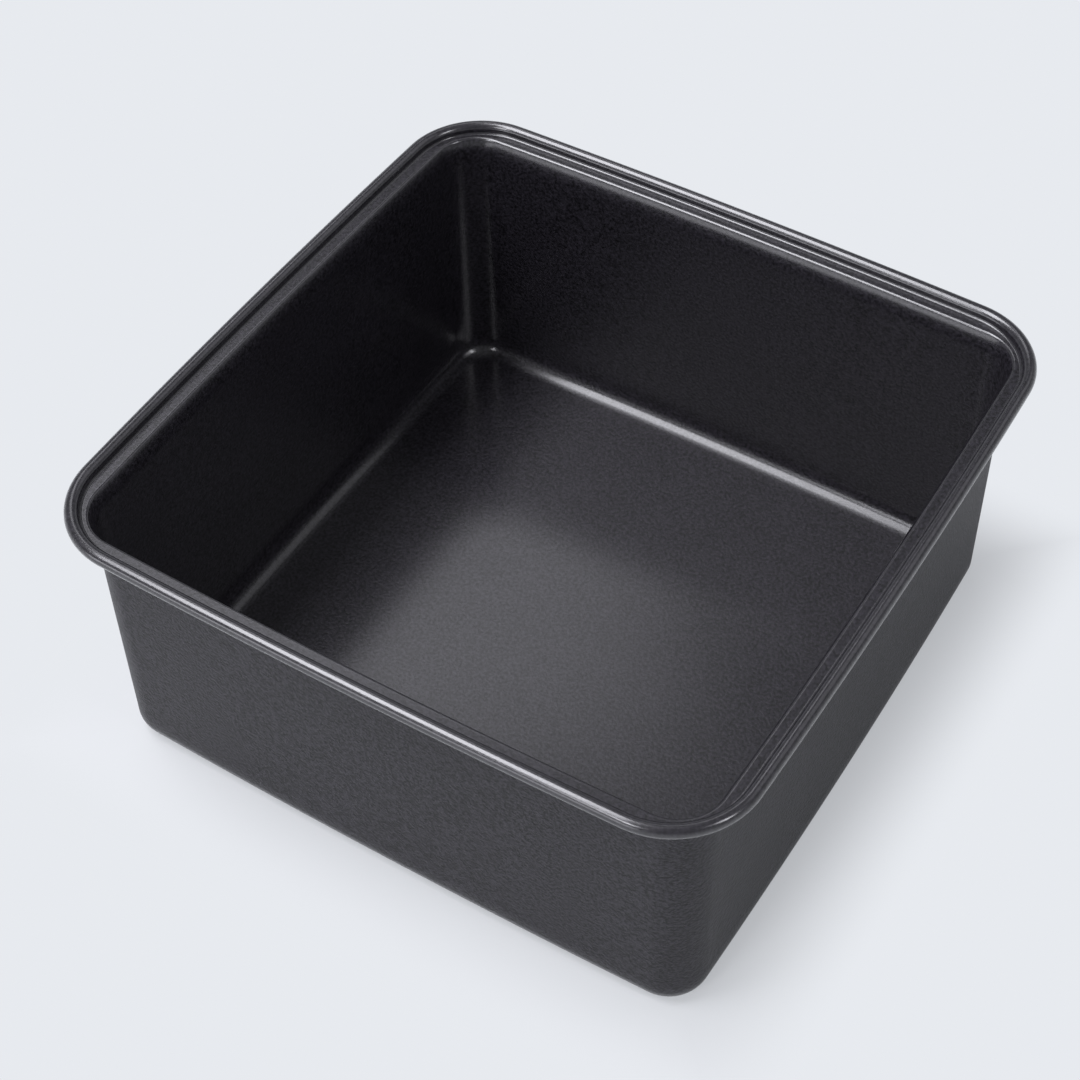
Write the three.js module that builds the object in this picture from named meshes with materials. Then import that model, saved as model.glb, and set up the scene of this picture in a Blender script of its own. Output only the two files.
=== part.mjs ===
import * as THREE from 'three';

// Square baking pan: a deep-drawn, coated steel shell whose stepped rim is rolled over a steel wire.
// Millimetres, +Z up. The origin is on the underside, at the middle of the base.
// A point of the cross section is an inset, measured inwards from the rim's outermost line, and a height.

// Outline of the pan
const RIM_WIDTH = 220; // across the rolled edge, at the middle of two opposite sides
const HEIGHT = 98; // from the underside to the top of the rolled edge
const RIM_CORNER = 27; // corner radius of the rim's outermost line
const SIDE_BOW = 2; // how far each side swells outwards between its corners

// Sheet and its bends
const SHEET = 0.8; // thickness of the drawn steel
const WALL_DRAFT = 0.2; // degrees that the walls lean outwards
const BASE_FILLET = 6; // inside radius between base and wall
const FLARE_RADIUS = 12; // cooking-face radius of the top of the wall, which flares outwards
const FLARE_TURN = 30; // degrees that the flare turns through, below the bend into the ledge
const LEDGE_BEND = 0.3; // under-side radius of that bend
const LEDGE_WIDTH = 2.4; // flat of the ledge along the sides
const CORNER_LEDGE_WIDTH = 0.6; // flat of the ledge at the corners, where the wall is rounded more tightly
const RISER_FILLET = 0.8; // upper radius between the ledge and the riser
const RISER = 0.3; // upright between that fillet and the roll
const CURL_TURN = 315; // degrees that the edge is rolled through

// Wire in the roll
const WIRE_DIAMETER = 2;
const WIRE_CLEARANCE = 0.3; // between the wire and the inside of the roll
const WIRE_END_GAP = 0.8; // between the butted ends of the wire, in the middle of the back

// Facets
const HALF_SIDE_STEPS = 3;
const CORNER_STEPS = 8;
const FILLET_STEPS = 5;
const FLARE_STEPS = 4;
const BEND_STEPS = 4;
const RISER_STEPS = 3;
const CURL_STEPS = 14;
const WIRE_SIDES = 10;

const DEGREE = Math.PI / 180;
const QUARTER = Math.PI / 2;
const UP = new THREE.Vector3(0, 0, 1);

// What follows from the sizes above
const halfWidth = RIM_WIDTH / 2;
const sideRadius = (halfWidth ** 2 + SIDE_BOW ** 2) / (2 * SIDE_BOW);
const sideCentre = halfWidth - sideRadius; // on each side's axis, beyond the far side of the pan
const curlInside = WIRE_DIAMETER / 2 + WIRE_CLEARANCE;
const curlOutside = curlInside + SHEET;
const curlHeight = HEIGHT - curlOutside;
const ledgeHeight = curlHeight - RISER - RISER_FILLET;
const ledgeOuterInset = 2 * curlOutside + RISER_FILLET;
const ledgeInnerInset = ledgeOuterInset + LEDGE_WIDTH;
const bendOutside = LEDGE_BEND + SHEET;

/** Angles from one to another in equal steps, both ends included. */
function angles(from, to, steps) {
  return Array.from({ length: steps + 1 }, (_, i) => from + ((to - from) * i) / steps);
}

/** Distance of a corner arc's centre from both axes, so that the arc runs smoothly into the side arcs. */
function cornerCentre(inset, corner) {
  const reach = sideRadius - inset - corner;
  return (sideCentre + Math.sqrt(2 * reach ** 2 - sideCentre ** 2)) / 2;
}

/** Corner radius, at an inset, of an outline that reaches a given distance from the middle at its corners. */
function cornerReaching(inset, diagonal) {
  const side = sideRadius - inset;
  const above = side ** 2 - diagonal ** 2 + Math.SQRT2 * sideCentre * diagonal - sideCentre ** 2;
  return above / (2 * (side - diagonal) + Math.SQRT2 * sideCentre);
}

// The rim's lines are all drawn about the rim's corner centres, the wall's about tighter ones of its own.
const rimDiagonal = Math.SQRT2 * cornerCentre(0, RIM_CORNER) + RIM_CORNER;
const ledgeCorner = cornerReaching(ledgeInnerInset, rimDiagonal - ledgeOuterInset - CORNER_LEDGE_WIDTH);
const rimCornerAt = (inset) => RIM_CORNER - inset;
const wallCornerAt = (inset) => ledgeCorner + ledgeInnerInset - inset;

/**
 * One level line round the pan: four bowed sides and four corners, all arcs that meet smoothly.
 * It starts in the middle of the back and runs anticlockwise. With an end gap the line stays open there.
 */
function outline(inset, corner, height, endGap = 0) {
  const side = sideRadius - inset;
  const centre = cornerCentre(inset, corner);
  const turn = Math.atan2(centre, centre - sideCentre);
  const points = [];
  for (let quarter = 0; quarter < 4; quarter += 1) {
    const start = quarter === 0 ? endGap / 2 / side : 0;
    const end = quarter === 3 ? endGap / 2 / side : 0;
    const arcs = [
      [0, sideCentre, side, angles(QUARTER + start, QUARTER + turn, HALF_SIDE_STEPS)],
      [-centre, centre, corner, angles(QUARTER + turn, 2 * QUARTER - turn, CORNER_STEPS)],
      [-sideCentre, 0, side, angles(2 * QUARTER - turn, 2 * QUARTER - end, HALF_SIDE_STEPS)],
    ];
    arcs.forEach(([x, y, radius, sweep], order) => {
      const last = order === 2 && quarter === 3 && endGap > 0;
      const kept = last ? sweep : sweep.slice(0, -1);
      for (const angle of kept) {
        const point = new THREE.Vector3(x + radius * Math.cos(angle), y + radius * Math.sin(angle), height);
        points.push(point.applyAxisAngle(UP, quarter * QUARTER));
      }
    });
  }
  return points;
}

/** Closed skin over a row of loops with equally many points, with a fan over the first and the last loop. */
function loft(loops) {
  const size = loops[0].length;
  const middle = (loop) => loop.reduce((sum, p) => sum.add(p), new THREE.Vector3()).divideScalar(size);
  const points = [...loops.flat(), middle(loops[0]), middle(loops.at(-1))];
  const lastLoop = (loops.length - 1) * size;
  const firstMiddle = loops.length * size;
  const faces = [];
  for (let i = 0; i < size; i += 1) {
    const next = (i + 1) % size;
    faces.push(firstMiddle, i, next);
    for (let base = 0; base < lastLoop; base += size) {
      faces.push(base + i, base + size + i, base + size + next);
      faces.push(base + i, base + size + next, base + next);
    }
    faces.push(lastLoop + i, firstMiddle + 1, lastLoop + next);
  }
  const geometry = new THREE.BufferGeometry().setFromPoints(points);
  geometry.setIndex(faces);
  geometry.computeVertexNormals();
  return geometry;
}

/** Stretch of sheet bent about a centre: pairs of points on its cooking face and on its back. */
function bend(inset, height, faceRadius, backRadius, sweep, cornerAt) {
  return sweep.map((angle) => {
    const at = (radius) => ({
      inset: inset + radius * Math.cos(angle),
      height: height + radius * Math.sin(angle),
      cornerAt,
    });
    return { face: at(faceRadius), back: at(backRadius) };
  });
}

/** The shell: its section is a strip of sheet with five bends, carried round the pan's outline. */
function panShell() {
  const draft = WALL_DRAFT * DEGREE;
  const flare = FLARE_TURN * DEGREE;
  const bendHeight = ledgeHeight - bendOutside;
  const flareInset = ledgeInnerInset - (FLARE_RADIUS - bendOutside) * Math.cos(flare);
  const flareHeight = bendHeight - (FLARE_RADIUS - bendOutside) * Math.sin(flare);
  const filletHeight = SHEET + BASE_FILLET;
  const wallDrop = (flareHeight - filletHeight) * Math.tan(draft);
  const filletInset = flareInset + (FLARE_RADIUS + BASE_FILLET) / Math.cos(draft) + wallDrop;
  const strip = [
    ...bend(
      filletInset,
      filletHeight,
      BASE_FILLET,
      BASE_FILLET + SHEET,
      angles(3 * QUARTER, 2 * QUARTER + draft, FILLET_STEPS),
      wallCornerAt,
    ),
    ...bend(
      flareInset,
      flareHeight,
      FLARE_RADIUS,
      FLARE_RADIUS - SHEET,
      angles(draft, flare, FLARE_STEPS).slice(0, -1),
      wallCornerAt,
    ),
    ...bend(
      ledgeInnerInset,
      bendHeight,
      bendOutside,
      LEDGE_BEND,
      angles(flare, QUARTER, BEND_STEPS),
      wallCornerAt,
    ),
    ...bend(
      ledgeOuterInset,
      ledgeHeight + RISER_FILLET,
      RISER_FILLET,
      RISER_FILLET + SHEET,
      angles(3 * QUARTER, 2 * QUARTER, RISER_STEPS),
      rimCornerAt,
    ),
    ...bend(
      curlOutside,
      curlHeight,
      curlOutside,
      curlInside,
      angles(0, CURL_TURN * DEGREE, CURL_STEPS),
      rimCornerAt,
    ),
  ];
  const section = [...strip.map((pair) => pair.face), ...strip.map((pair) => pair.back).reverse()];
  return loft(section.map((p) => outline(p.inset, p.cornerAt(p.inset), p.height)));
}

/** The wire: a round bar that follows the middle of the roll, with its two ends butted at the back. */
function rimWire() {
  const radius = WIRE_DIAMETER / 2;
  const lines = angles(0, 4 * QUARTER, WIRE_SIDES).slice(0, -1).map((angle) => {
    const inset = curlOutside - radius * Math.cos(angle);
    return outline(inset, rimCornerAt(inset), curlHeight + radius * Math.sin(angle), WIRE_END_GAP);
  });
  return loft(lines[0].map((_, i) => lines.map((line) => line[i])));
}

// Finishes
const charcoalCoating = new THREE.MeshStandardMaterial({ color: 0x2b2c2f, roughness: 0.42, metalness: 0.35 });
const bareWire = new THREE.MeshStandardMaterial({ color: 0x8d9093, roughness: 0.4, metalness: 1 });

const pan = new THREE.Group();
const shell = new THREE.Mesh(panShell(), charcoalCoating);
shell.name = 'pan_shell';
const wire = new THREE.Mesh(rimWire(), bareWire);
wire.name = 'rim_wire';
pan.add(shell, wire);

export default pan;
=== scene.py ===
import math

import bpy
import numpy as np
from mathutils import Matrix, Vector


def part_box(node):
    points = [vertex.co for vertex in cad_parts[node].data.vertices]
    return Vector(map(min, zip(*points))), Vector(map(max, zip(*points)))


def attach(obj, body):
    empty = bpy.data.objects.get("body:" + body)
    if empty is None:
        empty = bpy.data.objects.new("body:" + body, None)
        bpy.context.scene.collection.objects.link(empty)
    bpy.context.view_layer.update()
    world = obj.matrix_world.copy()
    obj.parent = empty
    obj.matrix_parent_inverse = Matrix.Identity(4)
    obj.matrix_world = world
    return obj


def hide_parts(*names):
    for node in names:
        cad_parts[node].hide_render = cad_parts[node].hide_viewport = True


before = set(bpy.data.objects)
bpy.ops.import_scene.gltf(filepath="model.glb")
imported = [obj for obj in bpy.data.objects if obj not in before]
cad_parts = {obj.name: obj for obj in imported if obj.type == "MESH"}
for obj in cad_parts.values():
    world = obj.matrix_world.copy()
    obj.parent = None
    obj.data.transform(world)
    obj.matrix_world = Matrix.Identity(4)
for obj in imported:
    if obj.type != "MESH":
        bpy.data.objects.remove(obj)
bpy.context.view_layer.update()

# Pan shell: one sheet of steel, deep-drawn into base, walls and ledge, its edge rolled over a wire.
# It is sprayed inside and out with a charcoal non-stick coating and baked, which leaves a satin grain.
# A point of its section is an inset, inwards from the rim's outermost line, and a height, in metres.
shell_low, shell_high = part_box("pan_shell")
pan_height = shell_high.z
half_width = (shell_high.x - shell_low.x) / 2
rim_corner = 0.027
side_bow = 0.002
sheet = 0.0008
wall_draft = math.radians(0.2)
base_fillet = 0.006
flare_radius = 0.012
flare_turn = math.radians(30)
ledge_bend = 0.0003
ledge_width = 0.0024
corner_ledge_width = 0.0006
riser_fillet = 0.0008
riser = 0.0003
curl_turn = math.radians(315)
wire_radius = 0.001
wire_clearance = 0.0003

# Steps of the mesh: along half a side and a corner, round each bend, and over each flat stretch.
half_side_steps = 20
corner_steps = 28
fillet_steps = 18
flare_steps = 14
brim_steps = 14
riser_steps = 12
roll_steps = 56
base_steps = 24
wall_steps = 24
ledge_steps = 8

quarter = math.pi / 2
side_radius = (half_width**2 + side_bow**2) / (2 * side_bow)
side_centre = half_width - side_radius
curl_inside = wire_radius + wire_clearance
curl_outside = curl_inside + sheet
curl_height = pan_height - curl_outside
ledge_height = curl_height - riser - riser_fillet
ledge_outer_inset = 2 * curl_outside + riser_fillet
ledge_inner_inset = ledge_outer_inset + ledge_width
bend_outside = ledge_bend + sheet
bend_height = ledge_height - bend_outside
flare_inset = ledge_inner_inset - (flare_radius - bend_outside) * math.cos(flare_turn)
flare_height = bend_height - (flare_radius - bend_outside) * math.sin(flare_turn)
fillet_height = sheet + base_fillet
wall_drop = (flare_height - fillet_height) * math.tan(wall_draft)
fillet_inset = flare_inset + (flare_radius + base_fillet) / math.cos(wall_draft) + wall_drop


def corner_centre(inset, corner):
    """Distance of a corner's centre from both axes: (k + root of (2 (S - d - r)^2 - k^2)) / 2.

    S is the radius of a bowed side, k its centre's place on the axis, d the inset and r the corner radius.
    """
    return (side_centre + np.sqrt(2 * (side_radius - inset - corner) ** 2 - side_centre**2)) / 2


# The rim's lines turn about the rim's own corner centres, and the wall's about tighter ones, so that
# the ledge narrows at the corners. The wall's corner radius is the one whose arc reaches the wanted
# distance from the middle.
rim_diagonal = math.sqrt(2) * corner_centre(0, rim_corner) + rim_corner
wall_diagonal = rim_diagonal - ledge_outer_inset - corner_ledge_width
wall_side = side_radius - ledge_inner_inset
wall_corner = (
    wall_side**2 - wall_diagonal**2 + math.sqrt(2) * side_centre * wall_diagonal - side_centre**2
) / (2 * (wall_side - wall_diagonal) + math.sqrt(2) * side_centre) + ledge_inner_inset


def level_rows(inset, height, corner_at_rim):
    """Rows of points round the pan, one row for each inset and height.

    Each row is four bowed sides and four corners, arcs that meet where their directions agree: the side
    turns through atan(c / (c - k)) from its middle, for corner centre c and side centre k. It starts at
    the back. The corner's radius is corner_at_rim less the inset.
    """
    inset, height = np.atleast_1d(inset), np.atleast_1d(height)
    corner = (corner_at_rim - inset)[:, None]
    side = (side_radius - inset)[:, None]
    centre = corner_centre(inset, corner_at_rim - inset)[:, None]
    turn = np.arctan2(centre, centre - side_centre)
    along_side = np.linspace(0, 1, half_side_steps, endpoint=False)
    along_corner = np.linspace(0, 1, corner_steps, endpoint=False)
    leaving = quarter + turn * along_side
    rounding = quarter + turn + (quarter - 2 * turn) * along_corner
    arriving = 2 * quarter - turn * (1 - along_side)
    x = np.hstack([
        side * np.cos(leaving),
        corner * np.cos(rounding) - centre,
        side * np.cos(arriving) - side_centre,
    ])
    y = np.hstack([
        side * np.sin(leaving) + side_centre,
        corner * np.sin(rounding) + centre,
        side * np.sin(arriving),
    ])
    x, y = np.hstack([x, -y, -x, y]), np.hstack([y, x, -y, -x])
    return np.stack([x, y, np.broadcast_to(height[:, None], x.shape)], axis=-1)


def bend_rows(inset, height, radius, start, end, corner_at_rim, steps):
    """Rows round a bend of the sheet: centre + radius times (cosine, sine) of an evenly turning angle."""
    angle = np.linspace(start, end, steps + 1)
    return level_rows(inset + radius * np.cos(angle), height + radius * np.sin(angle), corner_at_rim)


def between(first, last, steps):
    """Rows that lead straight from one row to another, both left out: first + fraction (last - first)."""
    fraction = np.linspace(0, 1, steps + 1)[1:-1, None, None]
    return first + fraction * (last - first)


def skin(name, rows):
    """Closed mesh over rows of points.

    Each row joins up with itself, each is joined to the next, and the end rows close on their middles.
    """
    count, size = rows.shape[:2]
    here = np.arange(size)
    after = (here + 1) % size
    row = np.arange(count - 1)[:, None] * size
    bands = np.stack([row + here, row + size + here, row + size + after, row + after], axis=-1)
    end = (count - 1) * size
    first_middle = np.full(size, count * size)
    caps = np.vstack([
        np.stack([first_middle, here, after], axis=-1),
        np.stack([end + here, first_middle + 1, end + after], axis=-1),
    ])
    points = np.vstack([rows.reshape(-1, 3), rows[0].mean(axis=0), rows[-1].mean(axis=0)])
    mesh = bpy.data.meshes.new(name)
    mesh.from_pydata(points.tolist(), [], bands.reshape(-1, 4).tolist() + caps.tolist())
    mesh.shade_smooth()
    piece = bpy.data.objects.new(name, mesh)
    bpy.context.scene.collection.objects.link(piece)
    return piece


def face_of_sheet(base, mouth, bend, fold, curl):
    """Rows over one face of the sheet, from base to rolled edge, for its five bends' radii on that face.

    They are joined by straight stretches: the base, from its middle outwards, the wall and the ledge.
    """
    fillet = bend_rows(
        fillet_inset, fillet_height, base, 3 * quarter, 2 * quarter + wall_draft, wall_corner, fillet_steps
    )
    flare = bend_rows(flare_inset, flare_height, mouth, wall_draft, flare_turn, wall_corner, flare_steps)
    brim = bend_rows(ledge_inner_inset, bend_height, bend, flare_turn, quarter, wall_corner, brim_steps)
    foot_height = ledge_height + riser_fillet
    foot = bend_rows(
        ledge_outer_inset, foot_height, fold, 3 * quarter, 2 * quarter, rim_corner, riser_steps
    )
    roll = bend_rows(curl_outside, curl_height, curl, 0, curl_turn, rim_corner, roll_steps)
    middle = fillet[0].mean(axis=0)
    flat = between(np.broadcast_to(middle, fillet[0].shape), fillet[0], base_steps)
    wall = between(fillet[-1], flare[0], wall_steps)
    ledge = between(brim[-1], foot[0], ledge_steps)
    return np.concatenate([flat, fillet, wall, flare[:-1], brim, ledge, foot, roll])


cooking_face = face_of_sheet(base_fillet, flare_radius, bend_outside, riser_fillet, curl_outside)
back_face = face_of_sheet(
    base_fillet + sheet, flare_radius - sheet, ledge_bend, riser_fillet + sheet, curl_inside
)
shell_rows = np.concatenate([cooking_face, back_face[::-1]])
pan_shell = skin("drawn_shell", shell_rows)


def tightness(rows):
    """How tightly the section is bent at each row: its turn there, over the length that it takes."""
    step = np.diff(rows[:, 0, 1:], axis=0)
    length = np.hypot(step[:, 0], step[:, 1])
    turn = np.abs(np.diff(np.unwrap(np.arctan2(step[:, 1], step[:, 0]))))
    return np.pad(2 * turn / (length[:-1] + length[1:]), 1)


# The coating is drawn thin over the bends and flows out smoother there: fully on the roll, less on wider
# bends. The cooking face is smooth all over. The last two values are for the middles of the base's faces.
smooth_inside = 0.6
thin = np.sqrt(np.clip(tightness(shell_rows) * curl_outside, 0, 1))
thin[: len(cooking_face)] = np.maximum(thin[: len(cooking_face)], smooth_inside)
thin_coat = pan_shell.data.attributes.new("thin_coat", "FLOAT", "POINT")
thin_coat.data.foreach_set("value", np.append(np.repeat(thin, shell_rows.shape[1]), thin[[0, -1]]))


class Finish:
    """A value in a material. Arithmetic on values adds Math nodes, and node() adds a node of any kind."""

    def __init__(self, tree, socket=None):
        self.tree = tree
        self.socket = socket

    def node(self, kind, settings, sockets, output=0):
        """A new node: its settings are set first, then a link or a value goes into each socket named."""
        made = self.tree.nodes.new(kind)
        for key, value in settings.items():
            setattr(made, key, value)
        for key, value in sockets.items():
            if isinstance(value, Finish):
                self.tree.links.new(value.socket, made.inputs[key])
            else:
                made.inputs[key].default_value = value
        return Finish(self.tree, made.outputs[output] if made.outputs else None)

    def maths(self, operation, first, second):
        return self.node("ShaderNodeMath", {"operation": operation}, {0: first, 1: second})

    def __add__(self, other):
        return self.maths("ADD", self, other)

    def __sub__(self, other):
        return self.maths("SUBTRACT", self, other)

    def __rsub__(self, other):
        return self.maths("SUBTRACT", other, self)

    def __mul__(self, other):
        return self.maths("MULTIPLY", self, other)

    __radd__ = __add__
    __rmul__ = __mul__


def new_finish(name):
    """A material with an empty node tree, and the value from which its nodes are made."""
    material = bpy.data.materials.new(name)
    material.use_nodes = True
    material.node_tree.nodes.clear()
    return material, Finish(material.node_tree)


def shade_between(mix, share, dark, pale):
    """A colour from dark to pale, by a share. The numbers are the Mix node's sockets for colours."""
    return mix.node("ShaderNodeMix", {"data_type": "RGBA"}, {0: share, 6: dark, 7: pale}, 2)


# Colours are linear. The grain shows in tone, relief and gloss, and fades where the coating is smooth.
# Over the satin base lies a clear film: faint outside, stronger on the cooking face, full on the roll.
dark_charcoal = (0.003, 0.0027, 0.0036, 1)
pale_charcoal = (0.023, 0.0208, 0.0268, 1)
grain_per_metre = 1000
grain_depth = 0.0004
grain_lost_where_smooth = 0.6
grain_in_tone, mottle_in_tone, middle_tone = 4.4, 0.4, 0.3
mottle_per_metre = 40
satin_roughness = 0.42
grain_in_roughness, mottle_in_roughness, roughness_lost_where_smooth = 0.1, 0.06, 0.12
coating_ior = 1.6
film_outside, film_on_grain, film_where_smooth = 0.05, 0.2, 0.88

coating, mix = new_finish("charcoal_coating")
place = mix.node("ShaderNodeTexCoord", {}, {}, "Object")
grain = mix.node(
    "ShaderNodeTexNoise", {}, {"Vector": place, "Scale": grain_per_metre, "Detail": 2, "Roughness": 0.6}
)
mottle = mix.node(
    "ShaderNodeTexNoise", {}, {"Vector": place, "Scale": mottle_per_metre, "Detail": 4, "Roughness": 0.55}
)
smooth = mix.node("ShaderNodeAttribute", {"attribute_name": "thin_coat"}, {}, "Fac")
speckle = (grain - 0.5) * (1 - grain_lost_where_smooth * smooth)
tone_share = speckle * grain_in_tone + mottle * mottle_in_tone + middle_tone
tone = shade_between(mix, tone_share, dark_charcoal, pale_charcoal)
uneven = satin_roughness + grain_in_roughness * grain + mottle_in_roughness * mottle
relief = mix.node("ShaderNodeBump", {}, {"Strength": 1, "Distance": grain_depth, "Height": speckle})
satin = mix.node(
    "ShaderNodeBsdfPrincipled",
    {},
    {
        "Base Color": tone,
        "Roughness": uneven - roughness_lost_where_smooth * smooth,
        "IOR": coating_ior,
        "Specular IOR Level": 0.15,
        "Coat Weight": film_outside + film_on_grain * grain + film_where_smooth * smooth,
        "Coat Roughness": 0.2,
        "Coat IOR": coating_ior,
        "Normal": relief,
    },
)
mix.node("ShaderNodeOutputMaterial", {}, {"Surface": satin})
pan_shell.data.materials.append(coating)
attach(pan_shell, "root")
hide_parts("pan_shell")

# Rim wire: a round steel bar bent to the rim's line, with its ends butted in the middle of the back.
# The sheet's edge is rolled over it, which stiffens the rim and holds the wire without any fixing.
wire_end_gap = 0.0008
wire_sides = 24
dark_steel = (0.3, 0.31, 0.32, 1)
pale_steel = (0.5, 0.51, 0.52, 1)
draw_marks_per_metre = 700
draw_mark_depth = 0.00005
steel_roughness, draw_marks_in_roughness = 0.3, 0.2

around = np.linspace(0, 4 * quarter, wire_sides, endpoint=False)
wire_lines = level_rows(
    curl_outside - wire_radius * np.cos(around), curl_height + wire_radius * np.sin(around), rim_corner
)
wire_ends = np.array([[-1], [1]]) * np.array([wire_end_gap / 2, 0, 0])
wire_rows = np.concatenate([wire_lines, wire_lines[:, :1]], axis=1).transpose(1, 0, 2)
wire_rows[[0, -1]] += wire_ends[:, None]
rim_wire = skin("rolled_in_wire", wire_rows)

drawn_steel, mix = new_finish("drawn_steel_wire")
place = mix.node("ShaderNodeTexCoord", {}, {}, "Object")
drawn = mix.node("ShaderNodeTexNoise", {}, {"Vector": place, "Scale": draw_marks_per_metre, "Detail": 3})
dull = shade_between(mix, drawn, dark_steel, pale_steel)
draw_marks = mix.node("ShaderNodeBump", {}, {"Strength": 0.2, "Distance": draw_mark_depth, "Height": drawn})
steel = mix.node(
    "ShaderNodeBsdfPrincipled",
    {},
    {
        "Base Color": dull,
        "Metallic": 1,
        "Roughness": steel_roughness + draw_marks_in_roughness * drawn,
        "Normal": draw_marks,
    },
)
mix.node("ShaderNodeOutputMaterial", {}, {"Surface": steel})
rim_wire.data.materials.append(drawn_steel)
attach(rim_wire, "root")
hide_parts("rim_wire")

# Studio: a matt table top that the pan stands on, six soft boxes round it, and a pale room.
# Seen straight, room and table have one pale colour, but close to the pan the table keeps part of the
# light that falls on it, so that the shadow stays. Shiny surfaces show the pale colour too.
pale_ground = (0.80, 0.823, 0.863, 1)
matt_table = (0.642, 0.653, 0.654, 1)
table_half = 4
shade_from, shade_to = 0.096, 0.134
pale_close_by = 0.45
pale_table_in_gloss = 0.24

table_top = bpy.data.meshes.new("table_top")
table_top.from_pydata(
    (np.array([[-1, -1, 0], [1, -1, 0], [1, 1, 0], [-1, 1, 0]]) * table_half).tolist(), [], [[0, 1, 2, 3]]
)
table = bpy.data.objects.new("table_top", table_top)
bpy.context.scene.collection.objects.link(table)


def eased(mix, value, start, end, low, high):
    """A value that eases from low to high while another goes from start to end."""
    return mix.node(
        "ShaderNodeMapRange",
        {"interpolation_type": "SMOOTHSTEP"},
        {"Value": value, "From Min": start, "From Max": end, "To Min": low, "To Max": high},
    )


def looked_at(mix):
    """Two values, 0 or 1: whether a place is seen straight, and whether it is seen in or through gloss."""
    straight = mix.node("ShaderNodeLightPath", {}, {}, "Is Camera Ray")
    glossy = mix.node("ShaderNodeLightPath", {}, {}, "Is Glossy Ray")
    clear = mix.node("ShaderNodeLightPath", {}, {}, "Is Transmission Ray")
    return straight, glossy + clear


paper, mix = new_finish("pale_table_top")
place = mix.node("ShaderNodeTexCoord", {}, {}, "Object")
table_x = mix.node("ShaderNodeSeparateXYZ", {}, {0: place}, "X")
table_y = mix.node("ShaderNodeSeparateXYZ", {}, {0: place}, "Y")
beyond = mix.maths("MAXIMUM", mix.maths("ABSOLUTE", table_x, 0), mix.maths("ABSOLUTE", table_y, 0))
apart = eased(mix, beyond, shade_from, shade_to, pale_close_by, 1)
straight, in_gloss = looked_at(mix)
matt = mix.node("ShaderNodeBsdfDiffuse", {}, {"Color": matt_table})
pale = mix.node("ShaderNodeEmission", {}, {"Color": pale_ground, "Strength": 1})
pale_share = apart * straight + pale_table_in_gloss * in_gloss
lit = mix.node("ShaderNodeMixShader", {}, {0: pale_share, 1: matt, 2: pale})
mix.node("ShaderNodeOutputMaterial", {}, {"Surface": lit})
table_top.materials.append(paper)

lamp_distance = 2.7
lamp_tint = (0.94, 0.94, 1)


def soft_box(name, direction, width, length, power, along=(0, 0, 1)):
    """A rectangular lamp that faces the pan from some direction, with its length turned along another."""
    lamp = bpy.data.lights.new(name, "AREA")
    lamp.shape = "RECTANGLE"
    lamp.size, lamp.size_y = width, length
    lamp.energy = power
    lamp.color = lamp_tint
    holder = bpy.data.objects.new(name, lamp)
    towards = Vector(direction).normalized()
    across = Vector(along).cross(towards).normalized()
    facing = Matrix((across, towards.cross(across), towards)).transposed().to_4x4()
    holder.matrix_world = Matrix.Translation(towards * lamp_distance) @ facing
    bpy.context.scene.collection.objects.link(holder)


soft_box("overhead_soft_box", (-0.37, -0.2, 0.9), width=0.92, length=2.1, power=76, along=(0, 1, 0.25))
soft_box("back_soft_box", (-0.437, 0.452, 0.777), width=1.05, length=0.5, power=4.2)
soft_box("front_soft_box", (-0.12, -0.75, 0.65), width=0.6, length=0.7, power=18)
soft_box("front_panel", (-0.35, -0.9, 0.12), width=2.4, length=0.9, power=22)
soft_box("right_strip", (0.74, -0.06, 0.67), width=0.5, length=0.9, power=14)
soft_box("back_fill", (0.35, 0.57, 0.74), width=1.6, length=1.4, power=5)

# The room's own light is low. In gloss its pale backdrop shows at half strength, and fades higher up.
room_light = 0.24
backdrop_in_gloss = 0.5
fade_from, fade_to = 0.2, 0.4
room = bpy.data.worlds.new("studio_room")
room.use_nodes = True
room.node_tree.nodes.clear()
mix = Finish(room.node_tree)
heading = mix.node("ShaderNodeTexCoord", {}, {}, "Generated")
upwards = mix.node("ShaderNodeSeparateXYZ", {}, {0: heading}, "Z")
backdrop = eased(mix, upwards, fade_from, fade_to, 1, 0)
straight, in_gloss = looked_at(mix)
brightness = room_light + (1 - room_light) * (straight + backdrop_in_gloss * backdrop * in_gloss)
walls = mix.node("ShaderNodeBackground", {}, {"Color": pale_ground, "Strength": brightness})
mix.node("ShaderNodeOutputWorld", {}, {"Surface": walls})
bpy.context.scene.world = room

# Camera: stands in front of the corner between the two near sides, high enough to look into the pan.
# Its place, lens and picture middle were fitted to the lines of the rim, the walls and the base.
azimuth, elevation, roll = math.radians(31.405), math.radians(48.068), math.radians(-0.305)
aim = Vector((-0.008103, 0.022004, 0.04))
stand_off = 0.712671
picture_side = 1080
focal_pixels = 2280.046
picture_centre = (580, 500)
camera = bpy.data.cameras.new("photo_view")
camera.sensor_width = 36
camera.lens = focal_pixels / picture_side * camera.sensor_width
camera.shift_x = 0.5 - picture_centre[0] / picture_side
camera.shift_y = picture_centre[1] / picture_side - 0.5
camera.clip_start, camera.clip_end = 0.01, 50
viewer = bpy.data.objects.new("photo_view", camera)
tilted = Matrix.Rotation(quarter - elevation, 4, "X") @ Matrix.Rotation(roll, 4, "Z")
turned = Matrix.Rotation(azimuth, 4, "Z") @ tilted
viewer.matrix_world = Matrix.Translation(aim + turned.col[2].to_3d() * stand_off) @ turned
bpy.context.scene.collection.objects.link(viewer)
bpy.context.scene.camera = viewer

bpy.context.scene.view_settings.view_transform = "Standard"
